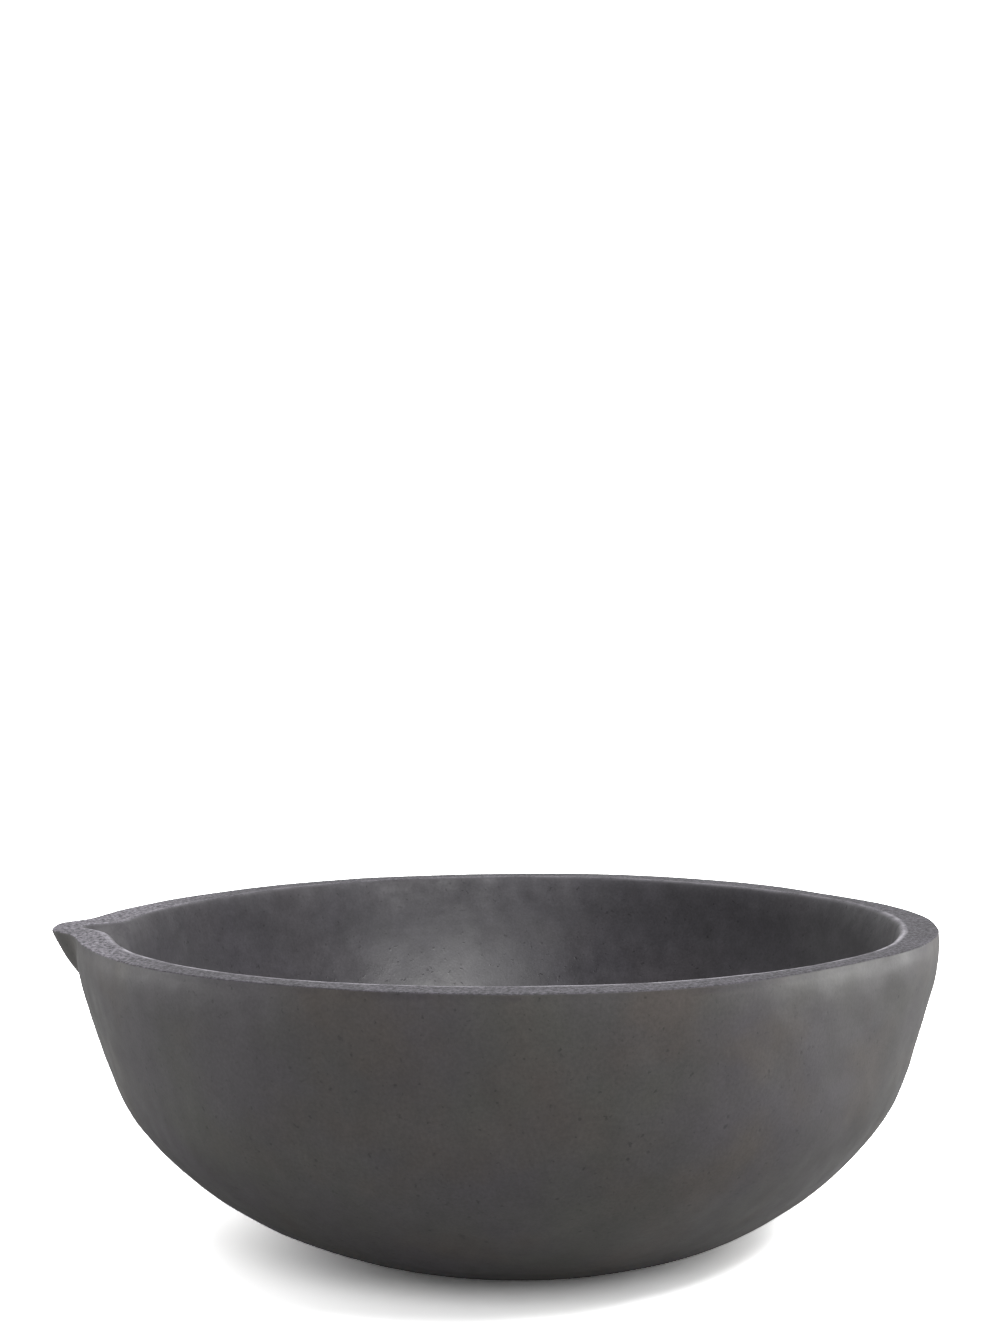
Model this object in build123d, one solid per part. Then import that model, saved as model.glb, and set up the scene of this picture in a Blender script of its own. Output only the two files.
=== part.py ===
from build123d import *
import math
import os

# Mortar and pestle: a wide bowl with a pouring lip, and a one-piece pestle that lies loose in it.
# Millimetres. Origin at the centre of the bowl's flat foot, +Z up, pouring lip towards -X.

# --- bowl, outside
rim_diameter = 202.0        # across the top edge
bowl_height = 74.6          # foot to rim
foot_diameter = 62.0        # flat that stands on the table
knuckle_height = 36.8       # where the round belly turns up into the wall
wall_flare = 13.4           # degrees that the wall leans out from vertical, knuckle to rim
wall_bulge = 1.3            # how far the wall bows out from a straight cone
belly_bulge = 7.9           # how far the belly bows out from a straight cone
knuckle_blend = 60.0        # outside radius at the knuckle
foot_blend = 12.0           # outside radius where the belly meets the foot

# --- bowl, inside
rim_thickness = 8.0         # width of the flat rim
wall_thickness = 8.2        # level with the knuckle
floor_thickness = 8.0       # at the middle of the floor
corner_blend = 60.0         # inside radius from the round floor to the wall
rim_outer_round = 0.6
rim_inner_round = 0.6

# --- pouring lip
lip_reach = 7.2             # how far the beak stands out from the rim
lip_tip_width = 12.0
lip_root_width = 48.0       # where the beak leaves the rim
lip_tip_round = 4.0
lip_depth = 12.0            # how far the beak runs down the outside
lip_blend = 8.0             # inside radius between the beak and the wall
lip_land = 6.0              # flat left in front of the channel
channel_tip_width = 5.0
channel_width = 22.0        # at the inner edge of the rim
channel_tip_round = 2.0
channel_depth = 15.0        # how far the channel runs down the inside
wedge_taper = 0.25          # low end of the beak and of the channel, against their size at the rim
wedge_root = 5.0            # how far back of the wall's face beak and channel start
wedge_sink = 1.0            # how far past the wall's face their low ends go

# --- pestle
pestle_length = 142.0
head_diameter = 38.0        # ball at the grinding end
waist_diameter = 20.0       # slimmest part of the handle
waist_place = 86.0          # from the grinding end
grip_diameter = 24.0        # ball at the end of the handle
pestle_turn = 24.0          # degrees from +X to the handle, seen from above
rest_gap = 0.3              # between the lying pestle and the bowl
halvings = 30               # steps used to find where the pestle lies

# --- worked out from the sizes above
rim_radius = rim_diameter / 2
foot_radius = foot_diameter / 2
outer_lean = math.tan(math.radians(wall_flare))
knuckle_radius = rim_radius - (bowl_height - knuckle_height) * outer_lean
inner_rim_radius = rim_radius - rim_thickness
corner_radius = knuckle_radius - wall_thickness
inner_lean = (inner_rim_radius - corner_radius) / (bowl_height - knuckle_height)
head_radius = head_diameter / 2
waist_radius = waist_diameter / 2
grip_radius = grip_diameter / 2
ball_spacing = pestle_length - head_radius - grip_radius


def bowl_section():
    """Half section of the bowl, from the axis out."""
    axis_bottom = (0, 0)
    foot_edge = (foot_radius, 0)
    knuckle = (knuckle_radius, knuckle_height)
    rim_outside = (rim_radius, bowl_height)
    rim_inside = (inner_rim_radius, bowl_height)
    corner = (corner_radius, knuckle_height)
    floor_middle = (0, floor_thickness)
    outline = [
        Line(axis_bottom, foot_edge),
        SagittaArc(foot_edge, knuckle, -belly_bulge),
        SagittaArc(knuckle, rim_outside, -wall_bulge),
        Line(rim_outside, rim_inside),
        SagittaArc(corner, rim_inside, -wall_bulge),
        TangentArc(floor_middle, corner, tangent=(1, 0)),
        Line(floor_middle, axis_bottom),
    ]
    face = make_face(outline)
    for point, radius in ((foot_edge, foot_blend), (knuckle, knuckle_blend), (corner, corner_blend)):
        face = fillet(face.vertices().sort_by_distance(point)[0], radius)
    return Plane.XZ * face


def wedge_outline(height, root, reach, root_width, tip_width, tip_round):
    """Blunt wedge that points along -X, at one height."""
    face = make_face(Polyline(
        (-root, root_width / 2),
        (-reach, tip_width / 2),
        (-reach, -tip_width / 2),
        (-root, -root_width / 2),
        close=True,
    ))
    tips = face.vertices().sort_by(Axis.X)[:2]
    return Pos(0, 0, height) * fillet(tips, tip_round)


def beak():
    """Solid that stands out under the rim as the pouring lip."""
    low_reach = rim_radius - lip_depth * outer_lean - wedge_sink
    low = wedge_outline(bowl_height - lip_depth, low_reach - wedge_root, low_reach,
                        lip_root_width * wedge_taper, lip_tip_width * wedge_taper,
                        lip_tip_round * wedge_taper)
    top = wedge_outline(bowl_height, rim_radius - wedge_root, rim_radius + lip_reach,
                        lip_root_width, lip_tip_width, lip_tip_round)
    return loft([low, top], ruled=True)


def channel():
    """Space cut from the inside of the bowl out into the beak."""
    low_reach = inner_rim_radius - channel_depth * inner_lean - wedge_sink
    low = wedge_outline(bowl_height - channel_depth, low_reach - wedge_root, low_reach,
                        channel_width * wedge_taper, channel_tip_width * wedge_taper,
                        channel_tip_round * wedge_taper)
    top = wedge_outline(bowl_height, inner_rim_radius - wedge_root, rim_radius + lip_reach - lip_land,
                        channel_width, channel_tip_width, channel_tip_round)
    return loft([low, top], ruled=True)


def mortar_bowl():
    """Bowl with a pouring lip and a flat ground rim, one piece."""
    bowl = revolve(bowl_section(), Axis.Z) + beak()
    turned = bowl.faces().filter_by(GeomType.REVOLUTION)
    outer_wall = turned.sort_by(lambda face: face.bounding_box().max.X)[-1]
    seam = [edge for edge in outer_wall.edges() if edge.bounding_box().max.X < -inner_rim_radius / 2]
    bowl = fillet(seam, lip_blend) - channel()
    rim = bowl.faces().filter_by(Axis.Z).sort_by(Axis.Z)[-1]
    bowl = fillet(rim.outer_wire().edges(), rim_outer_round)
    rim = bowl.faces().filter_by(Axis.Z).sort_by(Axis.Z)[-1]
    return fillet(rim.inner_wires()[0].edges(), rim_inner_round)


def pestle_along_z():
    """Pestle, one piece, standing on its grinding end with its axis on Z."""
    up = (0, 1)
    head_side = (head_radius, head_radius)
    waist = (waist_radius, waist_place)
    grip_side = (grip_radius, pestle_length - grip_radius)
    outline = [
        TangentArc((0, 0), head_side, tangent=(1, 0)),
        Spline(head_side, waist, grip_side, tangents=(up, up)),
        TangentArc(grip_side, (0, pestle_length), tangent=up),
        Line((0, pestle_length), (0, 0)),
    ]
    return revolve(Plane.XZ * make_face(outline), Axis.Z)


def halve(low, high, is_low):
    """Value between low and high where is_low turns from true to false."""
    for step in range(halvings):
        middle = (low + high) / 2
        if is_low(middle):
            low = middle
        else:
            high = middle
    return middle


def rest_height(section, reach, radius):
    """Height of the middle of a ball that lies in the bowl, reach out from the axis."""
    def touches(height):
        return section.distance_to(Vector(reach, 0, height)) < radius + rest_gap
    return halve(floor_thickness, bowl_height + radius, touches)


def pestle():
    """Pestle lying level in the bowl, with a ball at each end resting on the round floor."""
    section = bowl_section()

    def head_is_lower(reach):
        handle_height = rest_height(section, ball_spacing - reach, grip_radius)
        return rest_height(section, reach, head_radius) < handle_height

    head_reach = halve(0, ball_spacing, head_is_lower)
    height = rest_height(section, head_reach, head_radius)
    lying = Pos(-head_reach - head_radius, 0, height) * Rot(0, 90, 0) * pestle_along_z()
    return Rot(0, 0, pestle_turn) * lying


if __name__ == "__main__":
    os.makedirs("parts", exist_ok=True)
    export_step(mortar_bowl(), "parts/mortar_bowl.step")
    export_step(pestle(), "parts/pestle.step")
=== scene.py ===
import math

import bpy
import numpy as np
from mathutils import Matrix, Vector


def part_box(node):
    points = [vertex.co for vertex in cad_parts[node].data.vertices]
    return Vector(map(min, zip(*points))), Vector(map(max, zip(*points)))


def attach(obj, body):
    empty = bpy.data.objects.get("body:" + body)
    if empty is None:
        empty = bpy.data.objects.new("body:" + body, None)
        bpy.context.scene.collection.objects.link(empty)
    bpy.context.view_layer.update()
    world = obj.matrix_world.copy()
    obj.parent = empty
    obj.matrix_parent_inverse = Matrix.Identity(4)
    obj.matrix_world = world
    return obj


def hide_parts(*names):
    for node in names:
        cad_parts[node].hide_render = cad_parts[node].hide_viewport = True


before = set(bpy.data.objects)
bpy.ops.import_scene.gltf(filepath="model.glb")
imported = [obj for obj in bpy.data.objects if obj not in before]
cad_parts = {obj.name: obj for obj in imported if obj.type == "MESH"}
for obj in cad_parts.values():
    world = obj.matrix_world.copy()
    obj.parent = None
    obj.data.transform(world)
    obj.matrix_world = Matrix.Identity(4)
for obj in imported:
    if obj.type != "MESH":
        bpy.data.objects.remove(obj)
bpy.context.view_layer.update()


# ---------------------------------------------------------------------------------------------
# Mortar bowl. One wide bowl of black-fired stoneware: thrown, its lip pulled out by hand while
# soft, its rim ground flat after firing, and its walls burnished instead of glazed.
# ---------------------------------------------------------------------------------------------

MM = 0.001

bowl_low, bowl_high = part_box("mortar_bowl")
rim_radius = (bowl_high[1] - bowl_low[1]) / 2 / MM
bowl_height = bowl_high[2] / MM
beak_reach = -bowl_low[0] / MM - rim_radius + 0.6

foot_radius = 31.0
foot_angle = math.radians(6)        # how steeply the belly leaves the foot
belly_radius = 83.5
wall_lean = 0.248                   # how far the wall comes in for each millimetre down from the rim
wall_curve = 0.001                  # and for each square millimetre
turned_in = 1.9                     # how far the last of the wall is turned in at the rim
turned_depth = 4.5
knuckle_blend = 2.4                 # how far belly and wall melt into each other
rim_width = 8.1
floor_thickness = 8.0
floor_radius = 136.3
inner_lean = 0.15                   # the inside comes in more and more towards the floor
inner_curve = 0.0043
corner_blend = 10.0                 # how far floor and wall melt into each other
inner_flare = 1.3                   # how far the inside opens out in the last of its height
inner_flare_depth = 3.5
outer_edge_round = 0.4
inner_edge_round = 0.7


def soft_min(a, b, blend):
    """The lower of two values, rounded where they cross."""
    near = np.maximum(blend - np.abs(a - b), 0)
    return np.minimum(a, b) - near**2 / (4 * blend)


def outside_radius(height):
    """Radius of the outer face at a height above the foot."""
    centre_out = foot_radius - belly_radius * math.sin(foot_angle)
    centre_up = belly_radius * math.cos(foot_angle)
    up = np.minimum(height, centre_up) - centre_up
    belly = centre_out + np.sqrt(belly_radius**2 - up**2)
    depth = bowl_height - height
    wall = rim_radius - wall_lean * depth - wall_curve * depth**2
    wall += turned_in * (1 - np.exp(-depth / turned_depth))
    return soft_min(belly, wall, knuckle_blend)


def inside_radius(height):
    """Radius of the inner face at a height above the foot."""
    centre_up = floor_thickness + floor_radius
    floor = np.sqrt(np.maximum(floor_radius**2 - (centre_up - height) ** 2, 0))
    depth = bowl_height - height
    wall = rim_radius - rim_width - inner_lean * depth - inner_curve * depth**2
    wall -= inner_flare * (1 - np.exp(-depth / inner_flare_depth))
    return soft_min(floor, wall, corner_blend)


def even_points(points, spacing):
    """The same line with its points an even distance apart."""
    points = np.array(points)
    along = np.concatenate([[0], np.cumsum(np.hypot(*np.diff(points, axis=0).T))])
    places = np.linspace(0, along[-1], max(2, round(along[-1] / spacing) + 1))
    return np.stack([np.interp(places, along, points[:, k]) for k in (0, 1)], axis=1)


def round_corner(start, corner, end, steps):
    """Points of a small round that replaces a corner."""
    t = np.linspace(0, 1, steps)[:, None]
    return (1 - t) ** 2 * np.array(start) + 2 * t * (1 - t) * np.array(corner) + t**2 * np.array(end)


def bowl_profile():
    """Rows of (radius, height, side) from under the foot, over the rim, to the middle of the floor.

    side is 0 on the outer face and 1 on the inner one, and runs from 0 to 1 across the rim.
    """
    fine_band = 16.0                # fine rows near the rim, for the lip
    fine, coarse = 0.7, 1.8         # between rows
    rise = 1 - np.cos(np.linspace(0, math.pi / 2, 400))
    low = rise * (bowl_height - fine_band)
    outer_low = even_points(np.stack([outside_radius(low), low], 1), coarse)
    top = bowl_height
    band = np.linspace(top - fine_band, top - outer_edge_round, 200)
    outer_high = even_points(np.stack([outside_radius(band), band], 1), fine)
    outer_edge = round_corner(outer_high[-1], (rim_radius, top), (rim_radius - outer_edge_round, top), 6)
    inner_rim = rim_radius - rim_width
    land = np.linspace(rim_radius - outer_edge_round, inner_rim + inner_edge_round, 9)
    land = np.stack([land, np.full_like(land, top)], 1)
    band = np.linspace(top - fine_band, top - inner_edge_round, 200)
    inner_high = even_points(np.stack([inside_radius(band), band], 1), fine)[::-1]
    inner_edge = round_corner((inner_rim + inner_edge_round, top), (inner_rim, top), inner_high[0], 6)
    low = floor_thickness + rise * (bowl_height - fine_band - floor_thickness)
    inner_low = even_points(np.stack([inside_radius(low), low], 1), coarse)[::-1]
    foot = np.stack([np.linspace(1.5, foot_radius, 12), np.zeros(12)], 1)
    outer = np.concatenate([foot[:-1], outer_low[:-1], outer_high[:-1], outer_edge[:-1]])
    inner = np.concatenate([inner_edge[1:], inner_high[1:], inner_low[1:-1]])
    side = np.concatenate([np.zeros(len(outer)), np.linspace(0, 1, len(land)), np.ones(len(inner))])
    rows = np.concatenate([outer, land, inner])
    return rows[:, 0], rows[:, 1], side


def lobe(angle, width, sharpness):
    """1 at the middle of the lip, falling to 0 either side of it."""
    return 1 / (1 + np.abs(angle / width) ** sharpness)


# the lip outside is a narrow point on a broad swelling, and inside it is a pinched groove
point_share = 0.86                  # of the beak's reach
point_width = 5.6                   # degrees either side
swelling_share = 0.14
swelling_width = 14
beak_slope = 0.58                   # how fast the beak runs back into the wall below the rim
groove_reach = 8.2
groove_middle = -0.6                # degrees from the middle of the beak
groove_widths = (4.4, 2.3)          # degrees, past its middle and short of it
groove_slope = 0.62                 # how fast the groove runs out into the inner face
lip_blend = 0.8                     # how softly both run out


def lip_push(angle, depth, side):
    """How far the lip pushes each point out, in millimetres. angle is in degrees from -X."""
    point = point_share * lobe(angle, point_width, 5)
    beak = beak_reach * (point + swelling_share * np.exp(-((angle / swelling_width) ** 2)))
    beak = -soft_min(-(beak - beak_slope * depth), 0 * depth, lip_blend)
    half_width = np.where(angle > groove_middle, *groove_widths)
    groove = groove_reach * lobe(angle - groove_middle, half_width, 3)
    groove = -soft_min(-(groove - groove_slope * depth), 0 * depth, lip_blend)
    return (1 - side) * beak + side * groove


# where hands pressed the soft rim out of round: degrees from +X, millimetres outward, spread in degrees
outer_presses = [(25, -3.6, 17), (72, 1.0, 16), (140, -2.2, 20), (215, -1.0, 24), (245, -1.3, 18),
                 (276, 0.8, 14), (312, -3.4, 18)]
inner_presses = [(5, -0.6, 20), (40, -2.5, 20), (145, -2.8, 20), (262, -0.9, 18)]
rim_shift = -0.9                    # the rim sits this far towards the lip
foot_shift = 2.0                    # and the foot this far the other way
inner_true_depth = 35.0             # below this depth the inside is centred and round again
bowl_ripples = [(42, 0.22, 3), (11, 0.05, 4), (4.5, 0.018, 5)]      # size, height, seed
foot_fade = 6.0                     # the ripples die out over this height, down to the flat foot


def out_of_round(angle, presses):
    """Gentle unevenness of the plan, in millimetres."""
    push = np.zeros_like(angle)
    for place, outward, spread in presses:
        away = (angle - place + 180) % 360 - 180
        push += outward * np.exp(-((away / spread) ** 2))
    return push


def ripples(points, size, height, seed):
    """Soft unevenness of hand-made clay, in millimetres: waves about `size` long, in random directions."""
    draw = np.random.default_rng(seed)
    total = 0.0
    waves = 24
    for _ in range(waves):
        direction = draw.normal(size=3)
        direction *= 2 * math.pi / (size * draw.uniform(0.6, 1.6) * np.linalg.norm(direction))
        total = total + np.sin(points @ direction + draw.uniform(0, 2 * math.pi))
    return height * total / math.sqrt(waves / 2)


def ring_mesh(name, positions):
    """Closed mesh of rings (rows x columns x 3), capped with a fan at both ends."""
    rows, columns, _ = positions.shape
    index = np.arange(rows * columns).reshape(rows, columns)
    turned = np.roll(index, -1, axis=1)
    quads = np.stack([index[:-1], turned[:-1], turned[1:], index[1:]], axis=-1).reshape(-1, 4)
    points = np.concatenate([positions.reshape(-1, 3), positions[[0, -1]].mean(axis=1)])
    first, last = rows * columns, rows * columns + 1
    faces = quads.tolist()
    faces += [(int(b), int(a), first) for a, b in zip(index[0], turned[0])]
    faces += [(int(a), int(b), last) for a, b in zip(index[-1], turned[-1])]
    mesh = bpy.data.meshes.new(name)
    mesh.from_pydata(points.tolist(), [], faces)
    mesh.update()
    mesh.shade_smooth()
    piece = bpy.data.objects.new(name, mesh)
    bpy.context.scene.collection.objects.link(piece)
    return piece


def paint(piece, name, row_values, columns):
    """A named value for every row of a ring mesh, for its material to read."""
    values = np.concatenate([np.repeat(row_values, columns), row_values[[0, -1]]]).astype(np.float32)
    piece.data.attributes.new(name, "FLOAT", "POINT").data.foreach_set("value", values)


def bowl_positions():
    """Every point of the bowl's skin, in metres."""
    radius, height, side = (row[:, None] for row in bowl_profile())
    lip_half = 18                   # degrees either side of the lip, with fine columns
    lip_zone = np.arange(-lip_half, lip_half, 0.4)
    rest = np.linspace(lip_half, 360 - lip_half, 400, endpoint=False)
    from_lip = np.concatenate([lip_zone, rest])[None, :]
    signed = (from_lip + 180) % 360 - 180
    angle = from_lip + 180
    depth = bowl_height - height
    outer_fade = np.clip(height / bowl_height, 0, 1) ** 1.2
    inner_fade = np.clip(1 - depth / inner_true_depth, 0, 1) ** 2
    outer = outer_fade * out_of_round(angle % 360, outer_presses)
    inner = inner_fade * out_of_round(angle % 360, inner_presses)
    out = radius + lip_push(signed, depth, side) + outer + side * (inner - outer)
    shift = rim_shift + (foot_shift - rim_shift) * (depth / bowl_height) ** 2.5
    shift = shift + side * (rim_shift * inner_fade - shift)
    turn = np.radians(angle)
    around = np.stack([np.cos(turn), np.sin(turn), 0 * turn], axis=-1)
    place = out[..., None] * around
    place[..., 0] += shift
    place[..., 2] += height
    dent = sum(ripples(place, *ripple) for ripple in bowl_ripples)
    dent *= np.clip(height / foot_fade, 0, 1) * (1 - side * (1 - inner_fade ** 0.5))
    return (place + dent[..., None] * around) * MM


dry_depth = 12.0                    # the inside turns from dry to burnished here, and shines at twice it
ground_depth = 0.30                 # the ground face takes in this much of the rounded edges
ground_fade = 0.25
# the painted highlight along the rim's inner edge: where it lies, how wide it is, and how far down it
# reaches
highlight_place = 0.6                    # from the inner edge, across the rim
highlight_reach = 0.9                    # either side of the painted highlight's place
highlight_depth = 0.6
# the painted shadow line just under the rim's outer edge: how far below the rim, and how far either side
shadow_line_place = 0.75               # below the rim
shadow_line_reach = 0.6                # either side of the painted shadow line's place

positions = bowl_positions()
bowl = ring_mesh("mortar_bowl_skin", positions)
row_radius, row_height, row_side = bowl_profile()
columns = positions.shape[1]
row_depth = bowl_height - row_height
paint(bowl, "burnish", row_side * np.clip(row_depth / dry_depth - 1, -1, 1), columns)
paint(bowl, "smoke", row_side, columns)
paint(bowl, "ground", np.clip((ground_depth - row_depth) / ground_fade, 0, 1), columns)
# painted highlight: a pale band along the inner edge of the rim
off_place = np.abs(row_radius - (rim_radius - rim_width) - highlight_place)
edge_highlight = (row_side > 0) * (row_depth < highlight_depth) * np.clip(1 - off_place / highlight_reach, 0, 1)
paint(bowl, "painted_edge_highlight", edge_highlight, columns)
# painted shadow: a narrow band on the outer face just under the rim's edge
off_place = np.abs(row_depth - shadow_line_place)
paint(bowl, "painted_rim_shadow", (row_side == 0) * np.clip(1 - off_place / shadow_line_reach, 0, 1), columns)


def linear(hex_colour):
    """Linear RGBA of an sRGB hex colour."""
    parts = [int(hex_colour[k:k + 2], 16) / 255 for k in (1, 3, 5)]
    return [c / 12.92 if c <= 0.04045 else ((c + 0.055) / 1.055) ** 2.4 for c in parts] + [1.0]


def add(tree, kind, settings=None, **links):
    """A shader node with its settings and its links.

    settings holds node properties, and input values by name or number. links holds the node or the socket
    that feeds each input, named with _ for a space, or numbered after in_.
    """
    node = tree.nodes.new(kind)
    for key, value in (settings or {}).items():
        if isinstance(key, str) and hasattr(node, key):
            setattr(node, key, value)
        else:
            node.inputs[key].default_value = value
    for key, source in links.items():
        name = int(key[3:]) if key.startswith("in_") else key.replace("_", " ")
        socket = source.outputs[0] if isinstance(source, bpy.types.Node) else source
        tree.links.new(socket, node.inputs[name])
    return node


def black_stoneware():
    """Black-fired stoneware, burnished and unglazed.

    It is near black with a satin sheen, clouded olive, brown and lilac by the fire, with fine grain and
    pinholes. Where it was ground it is dry, with pale grit. A painted highlight runs along the rim's
    inner edge, and a painted shadow just under its outer edge.
    """
    material = bpy.data.materials.new("burnished_black_stoneware")
    material.use_nodes = True
    tree = material.node_tree
    tree.nodes.clear()
    place = add(tree, "ShaderNodeTexCoord").outputs["Object"]

    # fire clouds, 22 to 30 mm across, where smoke left lilac, olive and brown
    olive = add(tree, "ShaderNodeTexNoise", {"Scale": 1 / (30 * MM), "Detail": 3.0}, Vector=place)
    olive = add(tree, "ShaderNodeMapRange", {"From Min": 0.38, "From Max": 0.62}, Value=olive)
    clouds = {"data_type": "RGBA", 6: linear("#393639"), 7: linear("#383734")}
    colour = add(tree, "ShaderNodeMix", clouds, Factor=olive).outputs[2]
    brown = {"noise_dimensions": "4D", "W": 2.0, "Scale": 1 / (22 * MM), "Detail": 3.0}
    brown = add(tree, "ShaderNodeTexNoise", brown, Vector=place)
    brown = add(tree, "ShaderNodeMapRange", {"From Min": 0.48, "From Max": 0.66}, Value=brown)
    clouds = {"data_type": "RGBA", 7: linear("#3c3734")}
    colour = add(tree, "ShaderNodeMix", clouds, Factor=brown, in_6=colour).outputs[2]

    # shade of the clay: smears of the burnishing stone, 6 mm wide and 9 mm tall, grain of 0.7 mm, and
    # pinholes 6 mm apart
    smear = {"Scale": (1 / (6 * MM), 1 / (6 * MM), 1 / (9 * MM))}
    smear = add(tree, "ShaderNodeMapping", smear, Vector=place)
    smear = add(tree, "ShaderNodeTexNoise", {"Scale": 1.0, "Detail": 5.0, "Roughness": 0.65}, Vector=smear)
    shade = {"From Min": 0.30, "From Max": 0.70, "To Min": 0.90, "To Max": 1.10}
    shade = add(tree, "ShaderNodeMapRange", shade, Value=smear)
    grain = {"Scale": 1 / (0.7 * MM), "Detail": 2.0, "Roughness": 0.6}
    grain = add(tree, "ShaderNodeTexNoise", grain, Vector=place)
    grit = {"From Min": 0.25, "From Max": 0.75, "To Min": 0.82, "To Max": 1.18}
    grit = add(tree, "ShaderNodeMapRange", grit, Value=grain)
    shade = add(tree, "ShaderNodeMath", {"operation": "MULTIPLY"}, in_0=shade, in_1=grit)
    pins = add(tree, "ShaderNodeTexVoronoi", {"Scale": 1 / (6 * MM)}, Vector=place)
    pins = add(tree, "ShaderNodeMapRange", {"From Min": 0.04, "From Max": 0.085}, Value=pins)
    holes = add(tree, "ShaderNodeMapRange", {"To Min": 0.62, "To Max": 1.0}, Value=pins)
    shade = add(tree, "ShaderNodeMath", {"operation": "MULTIPLY"}, in_0=shade, in_1=holes)

    # gloss: satin, in patches of 9 mm
    gloss = {"noise_dimensions": "4D", "W": 5.0, "Scale": 1 / (9 * MM), "Detail": 4.0, "Roughness": 0.6}
    gloss = add(tree, "ShaderNodeTexNoise", gloss, Vector=place)
    rough = {"From Min": 0.3, "From Max": 0.7, "To Min": 0.46, "To Max": 0.60}
    rough = add(tree, "ShaderNodeMapRange", rough, Value=gloss)

    # relief: smears, grain and pinholes
    relief = add(tree, "ShaderNodeMath", {"operation": "MULTIPLY", 1: 0.45}, in_0=smear)
    relief = add(tree, "ShaderNodeMath", {"operation": "MULTIPLY_ADD", 1: 0.5}, in_0=grain, in_2=relief)
    relief = add(tree, "ShaderNodeMath", {"operation": "MULTIPLY_ADD", 1: 0.8}, in_0=pins, in_2=relief)

    # burnished until it shines, in dabs of 5.5 mm, with nicks of 1.5 mm
    burnish = add(tree, "ShaderNodeAttribute", {"attribute_name": "burnish"}).outputs["Fac"]
    dabs = {"noise_dimensions": "4D", "W": 9.0, "Scale": 1 / (5.5 * MM), "Detail": 5.0, "Roughness": 0.7}
    dabs = add(tree, "ShaderNodeTexNoise", dabs, Vector=place)
    polish = {"From Min": 0.3, "From Max": 0.7, "To Min": -0.20, "To Max": -0.05}
    polish = add(tree, "ShaderNodeMapRange", polish, Value=dabs)
    rough = add(tree, "ShaderNodeMath", {"operation": "MULTIPLY_ADD"},
                in_0=burnish, in_1=polish, in_2=rough)
    nicks = {"noise_dimensions": "4D", "W": 3.0, "Scale": 1 / (1.5 * MM), "Detail": 2.0, "Roughness": 0.6}
    nicks = add(tree, "ShaderNodeTexNoise", nicks, Vector=place)
    deep = {"From Min": 0.64, "From Max": 0.72, "To Max": -1.2}
    nicks = add(tree, "ShaderNodeMapRange", deep, Value=nicks)
    marks = add(tree, "ShaderNodeMath", {"operation": "MULTIPLY_ADD", 1: 3.0}, in_0=dabs, in_2=nicks)
    relief = add(tree, "ShaderNodeMath", {"operation": "MULTIPLY_ADD"},
                 in_0=marks, in_1=burnish, in_2=relief)
    nicks = add(tree, "ShaderNodeMath", {"operation": "MULTIPLY_ADD", 1: 0.4, 2: 1.0}, in_0=nicks)
    shade = add(tree, "ShaderNodeMath", {"operation": "MULTIPLY"}, in_0=shade, in_1=nicks)

    # smoked lilac grey, in blotches as large as the dabs
    blotch = {"From Min": 0.3, "From Max": 0.7, "To Min": -0.22, "To Max": 0.22}
    blotch = add(tree, "ShaderNodeMapRange", blotch, Value=dabs)
    smoke = add(tree, "ShaderNodeAttribute", {"attribute_name": "smoke"}).outputs["Fac"]
    blotch = add(tree, "ShaderNodeMath", {"operation": "MULTIPLY_ADD", 2: 1.0}, in_0=blotch, in_1=smoke)
    shade = add(tree, "ShaderNodeMath", {"operation": "MULTIPLY"}, in_0=shade, in_1=blotch)
    smoked = add(tree, "ShaderNodeMath", {"operation": "MULTIPLY", 1: 0.8}, in_0=smoke)
    lilac = {"data_type": "RGBA", 7: linear("#3a383d")}
    colour = add(tree, "ShaderNodeMix", lilac, Factor=smoked, in_6=colour).outputs[2]

    # painted shadow: a near-black band on the outer face just under the rim's edge, broken in stretches of
    # 14 mm
    painted_rim_shadow = add(tree, "ShaderNodeAttribute", {"attribute_name": "painted_rim_shadow"}).outputs["Fac"]
    painted_shadow = add(tree, "ShaderNodeTexNoise", {"Scale": 1 / (14 * MM), "Detail": 2.0}, Vector=place)
    painted_shadow = add(tree, "ShaderNodeMapRange", {"From Min": 0.42, "From Max": 0.60, "To Max": 0.8}, Value=painted_shadow)
    painted_shadow = add(tree, "ShaderNodeMath", {"operation": "MULTIPLY"}, in_0=painted_rim_shadow, in_1=painted_shadow)
    black = {"data_type": "RGBA", 7: linear("#242028")}
    colour = add(tree, "ShaderNodeMix", black, Factor=painted_shadow, in_6=colour).outputs[2]

    colour = add(tree, "ShaderNodeVectorMath", {"operation": "SCALE"}, Vector=colour, Scale=shade)

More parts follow.
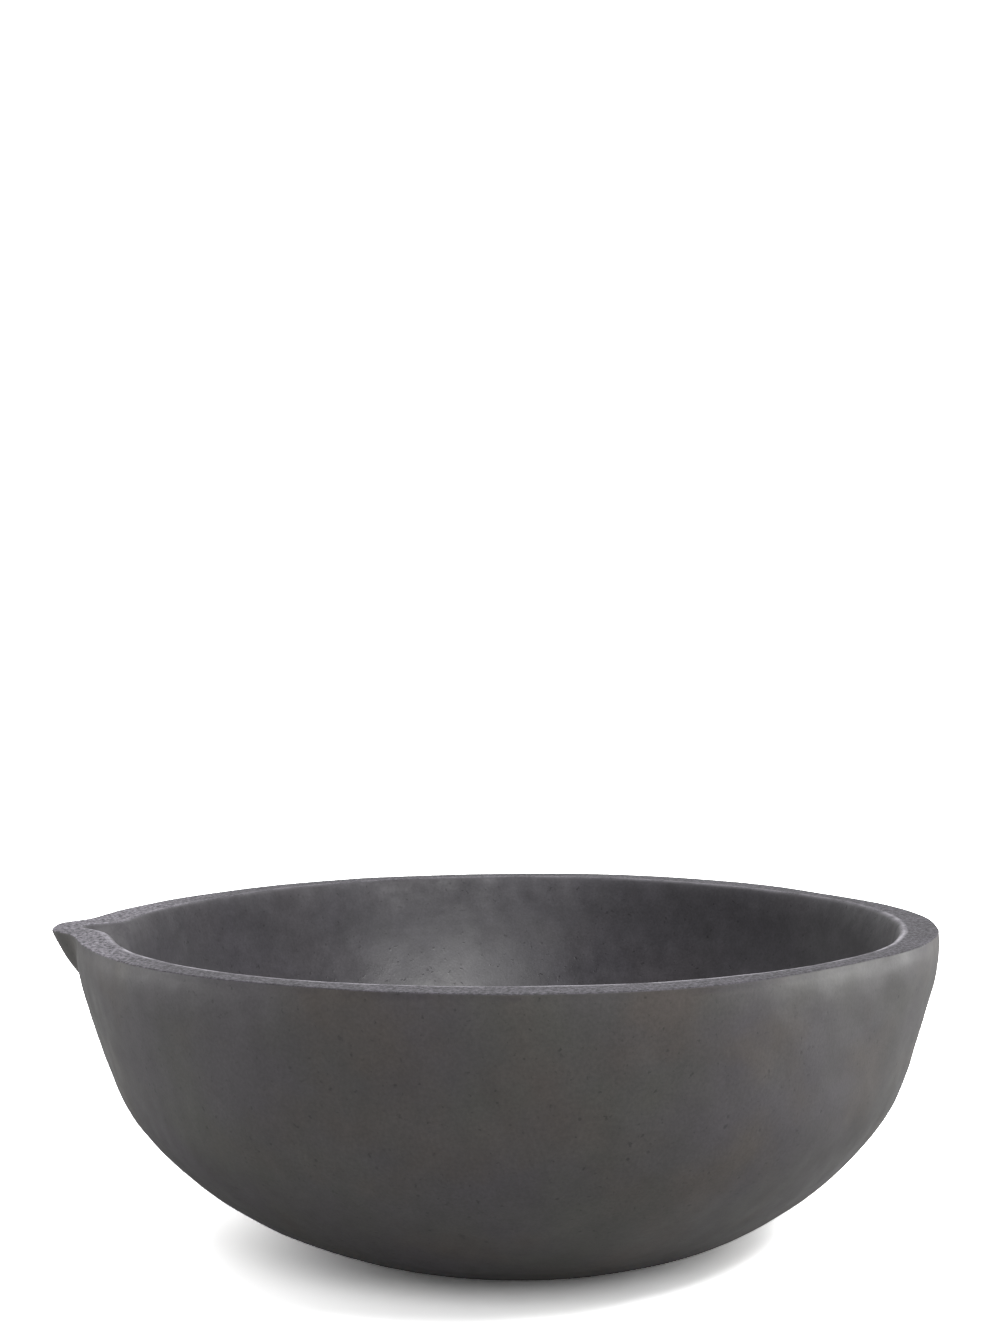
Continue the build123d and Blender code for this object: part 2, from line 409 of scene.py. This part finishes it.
    # ground rim: pale grit of 0.8 mm in dark clay, in patches of 10 mm, and palest at the lip
    ground = add(tree, "ShaderNodeAttribute", {"attribute_name": "ground"}).outputs["Fac"]
    grit = {"noise_dimensions": "4D", "W": 7.0, "Scale": 1 / (0.8 * MM), "Detail": 3.0, "Roughness": 0.75}
    grit = add(tree, "ShaderNodeTexNoise", grit, Vector=place)
    grit = add(tree, "ShaderNodeMapRange", {"From Min": 0.42, "From Max": 0.60}, Value=grit)
    clay = {"data_type": "RGBA", 6: linear("#211f24"), 7: linear("#413d46")}
    dry = add(tree, "ShaderNodeMix", clay, Factor=grit).outputs[2]
    along = add(tree, "ShaderNodeSeparateXYZ", Vector=place)
    lip = {"From Min": -72 * MM, "From Max": -92 * MM, "To Max": 0.9}
    lip = add(tree, "ShaderNodeMapRange", lip, Value=along.outputs["X"])
    lip = add(tree, "ShaderNodeMath", {"operation": "MULTIPLY"}, in_0=lip, in_1=grit)
    patches = {"noise_dimensions": "4D", "W": 4.0, "Scale": 1 / (10 * MM), "Detail": 3.0}
    patches = add(tree, "ShaderNodeTexNoise", patches, Vector=place)
    patch_shade = {"From Min": 0.35, "From Max": 0.65, "To Min": 0.80, "To Max": 1.18}
    patches = add(tree, "ShaderNodeMapRange", patch_shade, Value=patches)
    pale = {"data_type": "RGBA", 7: linear("#7b7780")}
    dry = add(tree, "ShaderNodeMix", pale, Factor=lip, in_6=dry).outputs[2]
    dry = add(tree, "ShaderNodeVectorMath", {"operation": "SCALE"}, Vector=dry, Scale=patches)
    rim_colour = {"data_type": "RGBA"}
    colour = add(tree, "ShaderNodeMix", rim_colour, Factor=ground, in_6=colour, in_7=dry).outputs[2]
    dull = add(tree, "ShaderNodeMapRange", {"To Min": 0.85, "To Max": 0.62}, Value=grit)
    rim_rough = {"data_type": "FLOAT"}
    rough = add(tree, "ShaderNodeMix", rim_rough, Factor=ground, in_2=rough, in_3=dull)
    raised = add(tree, "ShaderNodeMath", {"operation": "MULTIPLY"}, in_0=ground, in_1=grit)
    relief = add(tree, "ShaderNodeMath", {"operation": "ADD"}, in_0=relief, in_1=raised)

    # painted highlight along the inner edge of the rim, pale in stretches of 7 mm, and strongest on the
    # side towards the camera
    edge = add(tree, "ShaderNodeAttribute", {"attribute_name": "painted_edge_highlight"}).outputs["Fac"]
    painted_highlight = add(tree, "ShaderNodeTexNoise", {"Scale": 1 / (7 * MM), "Detail": 3.0}, Vector=place)
    bright = {"From Min": 0.40, "From Max": 0.60, "To Min": 0.2, "To Max": 0.9}
    painted_highlight = add(tree, "ShaderNodeMapRange", bright, Value=painted_highlight)
    painted_highlight = add(tree, "ShaderNodeMath", {"operation": "MULTIPLY"}, in_0=edge, in_1=painted_highlight)
    front = {"From Min": 30 * MM, "From Max": -40 * MM, "To Min": 0.3, "To Max": 1.0}
    front = add(tree, "ShaderNodeMapRange", front, Value=along.outputs["Y"])
    painted_highlight = add(tree, "ShaderNodeMath", {"operation": "MULTIPLY"}, in_0=painted_highlight, in_1=front)
    pale = {"data_type": "RGBA", 7: linear("#a09da4")}
    colour = add(tree, "ShaderNodeMix", pale, Factor=painted_highlight, in_6=colour).outputs[2]

    bump = add(tree, "ShaderNodeBump", {"Strength": 0.6, "Distance": 0.06 * MM}, Height=relief)
    shader = add(tree, "ShaderNodeBsdfPrincipled", {"IOR": 1.5},
                 Base_Color=colour, Roughness=rough, Normal=bump)
    add(tree, "ShaderNodeOutputMaterial", Surface=shader)
    return material


stoneware = black_stoneware()
bowl.data.materials.append(stoneware)
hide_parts("mortar_bowl")
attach(bowl, "mortar")


# ---------------------------------------------------------------------------------------------
# Pestle. One piece of the same black stoneware, rolled by hand: a ball to grind with, worn dry, and a
# waist and a smaller ball that the hand has polished. It lies loose in the bowl.
# ---------------------------------------------------------------------------------------------

pestle_low, pestle_high = (np.array(corner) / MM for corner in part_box("pestle"))
head_radius = (pestle_high[2] - pestle_low[2]) / 2
grip_radius = 12.0
waist_radius = 10.0
waist_place = 86.0                  # from the grinding end
pestle_ripples = [(26, 0.10, 11), (7, 0.03, 12)]                    # size, height, seed
inset = 0.25                        # keeps all but the highest ripples within the CAD pestle's radius
ripple_fade = 6.0                   # radius below which they die out, towards each end
worn_length = 22.0                  # of the grinding end
worn_strength = 0.75
polish_length = 40.0                # over which the handle turns to a full polish
handle_smoke = 0.6
lying_height = (pestle_high[2] + pestle_low[2]) / 2
head_centre = np.array([pestle_low[0] + head_radius, pestle_low[1] + head_radius, lying_height])
grip_centre = np.array([pestle_high[0] - grip_radius, pestle_high[1] - grip_radius, lying_height])
handle_way = grip_centre - head_centre
ball_spacing = np.linalg.norm(handle_way)
handle_way /= ball_spacing
side_way = np.array([-handle_way[1], handle_way[0], 0])


def hermite(t, start, end):
    """From start to end with level ends."""
    return start + (end - start) * (3 * t**2 - 2 * t**3)


def pestle_profile():
    """Rows of (place along the pestle, radius) from the grinding end to the other."""
    length = head_radius + ball_spacing + grip_radius
    turn = np.linspace(0.02, math.pi / 2, 60)
    head = np.stack([head_radius * (1 - np.cos(turn)), head_radius * np.sin(turn)], 1)
    t = np.linspace(0, 1, 60)[1:]
    along_first = head_radius + (waist_place - head_radius) * t
    first = np.stack([along_first, hermite(t, head_radius, waist_radius)], 1)
    grip_place = length - grip_radius
    along_second = waist_place + (grip_place - waist_place) * t
    second = np.stack([along_second, hermite(t, waist_radius, grip_radius)], 1)
    turn = turn[::-1][1:]
    end = np.stack([grip_place + grip_radius * np.cos(turn), grip_radius * np.sin(turn)], 1)
    return np.concatenate([head, first, second, end])


def pestle_positions():
    """Every point of the pestle's skin, in metres, within the CAD pestle's box."""
    along, radius = (row[:, None] for row in pestle_profile().T)
    turn = np.radians(np.linspace(0, 360, 160, endpoint=False))[None, :]
    around = np.cos(turn)[..., None] * side_way + np.sin(turn)[..., None] * np.array([0, 0, 1.0])
    middle = head_centre + (along[..., None] - head_radius) * handle_way
    place = middle + radius[..., None] * around
    dent = sum(ripples(place, *ripple) for ripple in pestle_ripples) - inset
    return (place + (dent * np.clip(radius / ripple_fade, 0, 1))[..., None] * around) * MM


positions = pestle_positions()
pestle = ring_mesh("pestle_skin", positions)
along = pestle_profile()[:, 0]
columns = positions.shape[1]
paint(pestle, "ground", worn_strength * np.clip(1 - along / worn_length, 0, 1) ** 0.7, columns)
paint(pestle, "burnish", np.clip((along - head_radius) / polish_length, 0, 1), columns)
paint(pestle, "smoke", np.full_like(along, handle_smoke), columns)
pestle.data.materials.append(stoneware)
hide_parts("pestle")
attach(pestle, "pestle")


# ---------------------------------------------------------------------------------------------
# Studio: a white table, light all round that is bright behind the bowl and dim on the viewer's side, soft
# boxes overhead and in front, and a low strip of light at either side.
# ---------------------------------------------------------------------------------------------

floor_mesh = bpy.data.meshes.new("floor")
reach = 30.0
floor_mesh.from_pydata([(-reach, -reach, 0), (reach, -reach, 0), (reach, reach, 0), (-reach, reach, 0)],
                       [], [(0, 1, 2, 3)])
floor = bpy.data.objects.new("floor", floor_mesh)
bpy.context.scene.collection.objects.link(floor)
paper = bpy.data.materials.new("white_paper")
paper.use_nodes = True
paper_tree = paper.node_tree
paper_tree.nodes.clear()
seen = add(paper_tree, "ShaderNodeLightPath").outputs["Is Camera Ray"]
white = add(paper_tree, "ShaderNodeMapRange", {"To Min": 0.48, "To Max": 3.1}, Value=seen)
sweep = add(paper_tree, "ShaderNodeBsdfDiffuse", Color=white)
add(paper_tree, "ShaderNodeOutputMaterial", Surface=sweep)
floor.data.materials.append(paper)

world = bpy.data.worlds.new("studio")
bpy.context.scene.world = world
world.use_nodes = True
sky = world.node_tree
sky.nodes.clear()
way = add(sky, "ShaderNodeSeparateXYZ", Vector=add(sky, "ShaderNodeTexCoord"))
behind = {"From Min": -0.2, "From Max": 0.6, "To Min": 0.14, "To Max": 1.5}
behind = add(sky, "ShaderNodeMapRange", behind, Value=way.outputs["Y"])
above = {"From Min": 0.3, "From Max": 1.0, "To Min": 0.0, "To Max": 0.2}
above = add(sky, "ShaderNodeMapRange", above, Value=way.outputs["Z"])
room = add(sky, "ShaderNodeMath", {"operation": "ADD"}, in_0=behind, in_1=above)
seen = add(sky, "ShaderNodeLightPath").outputs["Is Camera Ray"]
lit = add(sky, "ShaderNodeMix", {"data_type": "FLOAT", 3: 1.2}, Factor=seen, in_2=room)
light = add(sky, "ShaderNodeBackground", {"Color": (1, 1, 1, 1)}, Strength=lit)
add(sky, "ShaderNodeOutputWorld", Surface=light)


def soft_box(name, place, target, width, height, power):
    """A rectangular studio light that faces its target."""
    data = bpy.data.lights.new(name, "AREA")
    data.shape = "RECTANGLE"
    data.size = width
    data.size_y = height
    data.energy = power
    light = bpy.data.objects.new(name, data)
    light.location = place
    light.rotation_euler = (Vector(target) - Vector(place)).to_track_quat("-Z", "Y").to_euler()
    bpy.context.scene.collection.objects.link(light)


soft_box("overhead", (0.42, -0.60, 0.95), (0, 0, 0.04), 0.5, 0.5, 14)
soft_box("right_strip", (1.3, 0.1, 0.035), (0, 0, 0.035), 1.0, 0.066, 9)
soft_box("left_strip", (-1.3, 0.1, 0.035), (0, 0, 0.035), 1.0, 0.066, 5.5)
soft_box("front", (0.1, -1.05, 0.62), (0, 0, 0.04), 0.6, 0.45, 4.0)

camera_data = bpy.data.cameras.new("camera")
camera = bpy.data.objects.new("camera", camera_data)
bpy.context.scene.collection.objects.link(camera)
bpy.context.scene.camera = camera
camera_data.sensor_width = 36.0
camera_data.lens = 50.42
camera_distance = 0.449
camera_rise = 0.061                 # above the rim
camera_turn = math.radians(-3)
side_step = -0.0021
camera.location = (
    camera_distance * math.sin(camera_turn) + side_step * math.cos(camera_turn),
    -camera_distance * math.cos(camera_turn) + side_step * math.sin(camera_turn),
    bowl_height * MM + camera_rise,
)
roll = 0.0066
camera.rotation_euler = (math.radians(90), roll, camera_turn)
camera_data.clip_start = 0.01

bpy.context.scene.view_settings.view_transform = "Standard"
